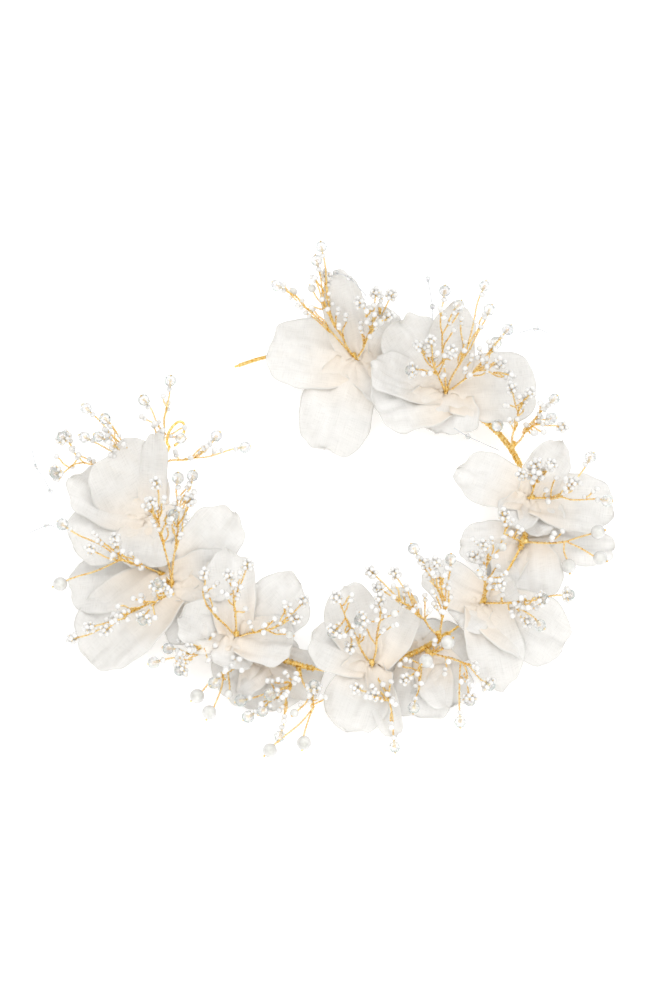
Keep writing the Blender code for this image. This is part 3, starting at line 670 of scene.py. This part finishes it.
def petal_form(rng, eye, level, petal, order):
    """One petal as rows from the eye to the tip: places, cloth coordinates, rim and way out."""
    heading, reach, width, height = petal
    heading = math.radians(heading)
    along = Vector((math.cos(heading), math.sin(heading), 0.0))
    across = Vector((-along.y, along.x, 0.0))
    drop = height - level
    neck = rng.uniform(0.62, 0.74)
    widest = rng.uniform(0.56, 0.66)
    cup = rng.uniform(-0.05, 0.1) * width
    waves = rng.uniform(1.2, 2.2)
    phase = rng.uniform(0.0, 2 * math.pi)
    flare = rng.uniform(0.8, 1.6)
    seed = Vector((rng.uniform(0, 90), rng.uniform(0, 90), rng.uniform(0, 90)))
    base = max(eye * 0.2, 0.7)
    points = []
    for row in range(PETAL_ROWS):
        share = 1.0 - (1.0 - row / (PETAL_ROWS - 1)) ** 1.7
        if share < widest:
            half = neck + (1.0 - neck) * math.sin(math.pi / 2 * share / widest) ** 1.1
        else:
            half = math.sqrt(max(0.0, 1.0 - ((share - widest) / (1.0 - widest)) ** 2.8))
        for column in range(PETAL_COLUMNS):
            side = 2.0 * column / (PETAL_COLUMNS - 1) - 1.0
            wobble = 1.0 + 0.13 * noise.noise(seed + Vector((share * 3.6, side * 1.5, 0.0)))
            aside = side * half * width / 2 * wobble
            long = 1.0 + 0.07 * noise.noise(seed + Vector((7.0, side * half * 2.4, 0.0))) * share
            out = base + (reach - base) * share * long
            rise = drop * max((out - eye) / (reach - eye), 0.0) ** 1.6
            rise += cup * side * side * half
            rise += flare * math.sin(waves * math.pi * share + side * 2.4 + phase) * side * side * share
            rise += flare * 0.7 * math.sin(side * 4.2 + phase) * share ** 3
            drift = 3.0 * noise.noise(seed + Vector((0.0, 0.0, share * 2.0)))
            rise += 0.9 * math.cos(side * 8.0 + phase + drift) * math.exp(-share * 1.9)
            flat = Vector((out, aside, 0.0))
            rise += 2.0 * noise.noise(flat * 0.085 + seed) * share
            rise += 1.1 * noise.noise(flat * 0.2 + seed) * min(1.0, share * 2.0)
            streak = noise.noise(Vector((out * 0.05, aside * 0.32, 0.0)) + seed)
            rise += 0.75 * streak * min(1.0, share * 3.0)
            rise += 0.2 * noise.noise(flat * 0.7 + seed)
            rise += 0.35 * order
            edge = max(abs(side), share) if share > widest else abs(side)
            points.append((along * out + across * aside + Vector((0.0, 0.0, rise)),
                           (out * MM + order * 0.05, aside * MM, 0.0), edge, share))
    return points


def make_flower(number, spec, organza):
    place, eye, under, petals = spec
    rng = random.Random(700 + number)
    level = BAND_HEIGHT + (-EYE_HEIGHT if under else EYE_HEIGHT)
    centre = Vector((place[0], place[1], level))
    points, faces, cut = [], [], 0.0
    for layer, petal in enumerate(petals):
        start = len(points)
        points += petal_form(rng, eye, level, petal, (layer % 3) - 1)
        for row in range(PETAL_ROWS - 1):
            for column in range(PETAL_COLUMNS - 1):
                a = start + row * PETAL_COLUMNS + column
                faces.append((a, a + PETAL_COLUMNS, a + PETAL_COLUMNS + 1, a + 1))
                corners = [Vector(points[k][1]) for k in faces[-1]]
                cut += ((corners[2] - corners[0]).cross(corners[3] - corners[1])).length / 2
    places = []
    for spot, _, _, _ in points:
        spot = spot + centre
        spot.z = max(spot.z, 0.25)
        places.append(tuple(spot * MM + SHIFT))
    mesh = bpy.data.meshes.new(f"organza_flower_{number:02d}")
    mesh.from_pydata(places, [], faces)
    attribute = mesh.attributes.new("cloth", "FLOAT_VECTOR", "POINT")
    attribute.data.foreach_set("vector", np.array([point[1] for point in points], np.float32).ravel())
    for label, column in (("rim", 2), ("way_out", 3)):
        attribute = mesh.attributes.new(label, "FLOAT", "POINT")
        attribute.data.foreach_set("value", np.array([point[column] for point in points], np.float32))
    mesh.shade_smooth()
    mesh.materials.append(organza)
    item = bpy.data.objects.new(mesh.name, mesh)
    bpy.context.scene.collection.objects.link(item)
    thickness = item.modifiers.new("cloth", "SOLIDIFY")
    thickness.thickness = CLOTH_THICKNESS * MM
    thickness.offset = 0.0
    finished(item, "organza", f"flower_{number:02d}")


# ---- Sprays ----

def add_seed(seeds, spot, hole, rng, size=None):
    size = size or rng.uniform(*SEED_RADII)
    add_ball(seeds, BEAD_BALL, spot, (size, size, size * 0.86), hole, rng.uniform(0, 3))


def add_bead_bunch(kind, tip, along, rng, shapes):
    """Seed beads round a twig's end: a tight bunch, or a ring with a cut bead in it."""
    aside = along.orthogonal().normalized()
    other = along.cross(aside)
    if kind == "flower":
        add_ball(shapes["crystals"], FACET_BALL, tip + along * 0.6, (2.2, 2.2, 2.0), along,
                 rng.uniform(0, 3))
        rings = [(7, 2.95, 0.2), (5, 2.0, 1.9)]
    else:
        add_seed(shapes["seed_beads"], tip + along * 1.7, aside, rng)
        rings = [(5, 1.75, -0.1), (4, 1.6, 1.9)]
    for count, reach, back in rings:
        start = rng.uniform(0, 2 * math.pi)
        loop = []
        for k in range(count):
            turn = start + 2 * math.pi * k / count + rng.uniform(-0.15, 0.15)
            out = aside * math.cos(turn) + other * math.sin(turn)
            spot = tip + out * reach - along * (back + rng.uniform(-0.4, 0.4))
            add_seed(shapes["seed_beads"], spot, along.cross(out), rng)
            loop.append(spot + out * 0.35)
        add_tube(shapes["wires"], smooth_route(loop + loop[:1], 0.5), 0.15, 5)


def bent_way(start, end, rng, bend=1.0):
    """A slightly wandering way between two points."""
    aim = end - start
    reach = min(1.3, aim.length / 10) * bend
    first, second = [Vector([rng.uniform(-1, 1) for _ in range(3)]) * reach for _ in range(2)]
    return [start, start + aim * 0.33 + first, start + aim * 0.7 + second * 0.7, end]


def add_twig(kind, start, tip, rng, shapes):
    """A wire twisted back on itself, with what it carries."""
    along = (tip - start).normalized()
    wires, seeds = shapes["wires"], shapes["seed_beads"]
    end = tip + along * (3.3 if kind == "big" else 0.3)
    add_twist(wires, bent_way(start, end, rng), phase=rng.uniform(0, 6))
    strung = along.orthogonal().normalized()
    if kind == "crystal":
        size = rng.uniform(*CRYSTAL_RADII)
        add_ball(shapes["crystals"], FACET_BALL, tip, (size, size, size * 0.95), along, rng.uniform(0, 3))
        add_tube(wires, smooth_route([tip + along * 2.2 - strung * 0.5, tip + along * 2.7,
                                      tip + along * 2.2 + strung * 0.5], 0.2), 0.16, 5)
        if (tip - start).length > 8.0:
            add_seed(seeds, tip - along * 3.9, along, rng, 1.3)
    elif kind == "pearl":
        add_ball(shapes["small_pearls"], SMOOTH_BALL, tip, (SMALL_PEARL_RADIUS,) * 3, along)
        add_ball(wires, TINY_BALL, tip + along * (SMALL_PEARL_RADIUS + 0.05), (0.4, 0.4, 0.25), along)
    elif kind == "big":
        add_ball(wires, TINY_BALL, end, (0.5, 0.5, 0.35), along)
    elif kind == "single":
        add_seed(seeds, tip, along, rng, 1.3)
    elif kind == "pair":
        add_seed(seeds, tip, along, rng, 1.25)
        add_seed(seeds, tip - along * 2.1, along, rng, 1.15)
    else:
        add_bead_bunch(kind, tip, along, rng, shapes)
    if kind in ("crystal", "pearl", "seed", "flower") and (tip - start).length > 7.0:
        spot = start.lerp(tip, rng.uniform(0.3, 0.55))
        add_seed(seeds, spot + strung * 0.8, along, rng)


def make_spray(number, spec, materials):
    """A foot on the band, stems of twisted wire to their forks, and twigs to the beads."""
    foot, side, stems = spec
    rng = random.Random(40 + number)
    knot = foot_place(foot, side)
    shapes = {label: Shape() for label in ("wires", "crystals", "small_pearls", "seed_beads")}
    for fork, tips in stems:
        fork = Vector(fork)
        every = [(Vector(place), kind) for *place, kind in tips]
        add_twist(shapes["wires"], bent_way(knot, fork, rng, 0.6), radius=STEM_STRAND,
                  pitch=STEM_PITCH, phase=rng.uniform(0, 6))
        for k, (tip, kind) in enumerate(every):
            start = fork if k < 2 else knot.lerp(fork, rng.uniform(0.72, 0.98))
            add_twig(kind, start, tip, rng, shapes)
            for _ in range(EXTRA_TWIGS.get(kind, 0)):
                root = fork.lerp(tip, rng.uniform(0.0, 0.5))
                if rng.random() < 0.35:
                    root = knot.lerp(fork, rng.uniform(0.5, 0.9))
                spot = root.lerp(tip, 0.35)
                spot += Vector((rng.uniform(-5.5, 5.5), rng.uniform(-5.5, 5.5), rng.uniform(0.5, 6)))
                add_twig(rng.choice(("single", "pair", "pair")), root, spot, rng, shapes)
    for _ in range(HEART_TWIGS):
        root = knot.lerp(Vector(rng.choice(stems)[0]), rng.uniform(0.45, 0.7))
        spread = Vector((rng.uniform(-5, 5), rng.uniform(-3, 5), rng.uniform(1, 6)))
        add_twig(rng.choice(("single", "pair")), root, root + (root - knot) * 0.4 + spread, rng, shapes)
    aim = sum((Vector(stem[0]) - knot for stem in stems), Vector()).normalized()
    gather = [knot - aim * 0.4, knot + aim * 1.6, knot + aim * 3.2]
    add_coil(shapes["wires"], np.array(gather), 1.25, 0.24, spacing=2.6)
    add_tube(shapes["wires"], np.array(gather), 0.8, 8)
    finished(shapes["wires"].build(f"twisted_wires_{number:02d}", materials["gold"]), "beaded_wire",
             f"spray_{number:02d}")
    for label, slot in (("crystals", "crystal"), ("small_pearls", "pearl"), ("seed_beads", "pearl")):
        if shapes[label].count:
            piece = shapes[label].build(f"{label}_{number:02d}", materials[label], label != "crystals")
            finished(piece, slot)


def make_big_pearls(material):
    for number in range(1, 11):
        low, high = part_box(f"pearl_{number:02d}")
        centre = ((Vector(low) + Vector(high)) / 2 - SHIFT) / MM
        pearl = Shape()
        add_ball(pearl, SMOOTH_BALL, centre, (LARGE_PEARL_RADIUS,) * 3)
        finished(pearl.build(f"round_pearl_{number:02d}", material), "pearl", f"pearl_{number:02d}")


def make_band_crystal(material):
    low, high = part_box("band_crystal")
    centre = ((Vector(low) + Vector(high)) / 2 - SHIFT) / MM
    bead = Shape()
    add_ball(bead, FACET_BALL, centre, BAND_CRYSTAL_RADII, (0.3, 0.4, 1.0))
    finished(bead.build("cut_band_crystal", material, smooth=False), "crystal", "band_crystal")


def make_strands(nylon, bead):
    for number, (route, beads) in enumerate(STRANDS, 1):
        name = f"strand_{number:02d}"
        bristle = Shape()
        add_tube(bristle, smooth_route(route, 0.6), BRISTLE_RADIUS, 8)
        finished(bristle.build(f"bristle_{number:02d}", nylon), "nylon", name)
        drops = Shape()
        for index in beads:
            add_ball(drops, SMOOTH_BALL, route[index], BRISTLE_BEAD_RADII, (1.0, 0.2, 0.1))
        finished(drops.build(f"bristle_beads_{number:02d}", bead), "nylon")


# ---- Floor, light and camera ----

def make_floor():
    bpy.ops.mesh.primitive_plane_add(size=6.0, location=(0.0, 0.0, 0.0))
    floor = bpy.context.object
    floor.name = "floor"
    floor.data.materials.append(floor_material())


def make_light(name, place, size, power, colour=(1.0, 1.0, 1.0)):
    data = bpy.data.lights.new(name, "AREA")
    data.shape = "DISK"
    data.size = size
    data.energy = power
    data.color = colour
    lamp = bpy.data.objects.new(name, data)
    lamp.location = place
    lamp.rotation_euler = (-Vector(place)).to_track_quat("-Z", "Y").to_euler()
    bpy.context.scene.collection.objects.link(lamp)


def make_world(strength):
    """Soft light from above that falls off to a dim horizon, for contrast in wire and glass."""
    world = bpy.data.worlds.new("studio")
    world.use_nodes = True
    tree = world.node_tree
    background = tree.nodes["Background"]
    place = tree.nodes.new("ShaderNodeTexCoord")
    split = tree.nodes.new("ShaderNodeSeparateXYZ")
    ramp = tree.nodes.new("ShaderNodeValToRGB")
    low, high = ramp.color_ramp.elements
    low.position, low.color = 0.1, (0.24, 0.22, 0.19, 1.0)
    high.position, high.color = 0.7, (1.0, 1.0, 1.0, 1.0)
    tree.links.new(place.outputs["Generated"], split.inputs["Vector"])
    tree.links.new(split.outputs["Z"], ramp.inputs["Fac"])
    tree.links.new(ramp.outputs["Color"], background.inputs["Color"])
    background.inputs["Strength"].default_value = strength
    bpy.context.scene.world = world


def make_camera():
    """High above the horizon and well back, on a long lens."""
    elevation = math.radians(CAMERA_ELEVATION)
    target = Vector((0.0006, 0.0074, 0.012))
    back = Vector((0.0, -math.cos(elevation), math.sin(elevation)))
    data = bpy.data.cameras.new("camera")
    data.sensor_width = 36.0
    data.lens = data.sensor_width * CAMERA_DISTANCE / VIEW_HEIGHT
    data.clip_start, data.clip_end = 0.05, 20.0
    camera = bpy.data.objects.new("camera", data)
    camera.location = target + back * CAMERA_DISTANCE
    camera.rotation_euler = back.to_track_quat("Z", "Y").to_euler()
    bpy.context.scene.collection.objects.link(camera)
    bpy.context.scene.camera = camera


make_camera()
make_floor()
make_world(1.34)
make_light("key_light", (-0.6, 0.5, 1.3), 0.6, 1.2, (1.0, 0.98, 0.95))
make_light("front_light", (0.15, -1.3, 0.7), 0.8, 4.2, (1.0, 0.99, 0.97))
make_light("side_light", (1.1, -0.2, 0.7), 0.6, 1.0, (0.97, 0.98, 1.0))
bpy.context.scene.view_settings.view_transform = "Standard"

gold = gold_material("gold_wire", (1.0, 0.745, 0.25), 0.2)
materials = {
    "gold": gold,
    "crystals": crystal_material(),
    "small_pearls": pearl_material("white_pearl", (0.80, 0.79, 0.77), (0.64, 0.63, 0.60)),
    "seed_beads": seed_material(),
}
make_band(gold)
make_loop(gold)
organza = organza_material("ivory_organza", *IVORY)
# painted light: the same cloth made paler, for the flowers that lie in the others' shade
shade_lifted_organza = organza_material("shade_lifted_organza", *SHADE_LIFTED_IVORY)
for flower_number, flower in enumerate(FLOWERS, 1):
    make_flower(flower_number, flower, shade_lifted_organza if flower[2] else organza)
for spray_number, spray in enumerate(SPRAYS, 1):
    make_spray(spray_number, spray, materials)
make_big_pearls(pearl_material("large_pearl", (0.78, 0.77, 0.75), (0.58, 0.57, 0.54)))
make_band_crystal(materials["crystals"])
make_strands(nylon_material(), materials["crystals"])
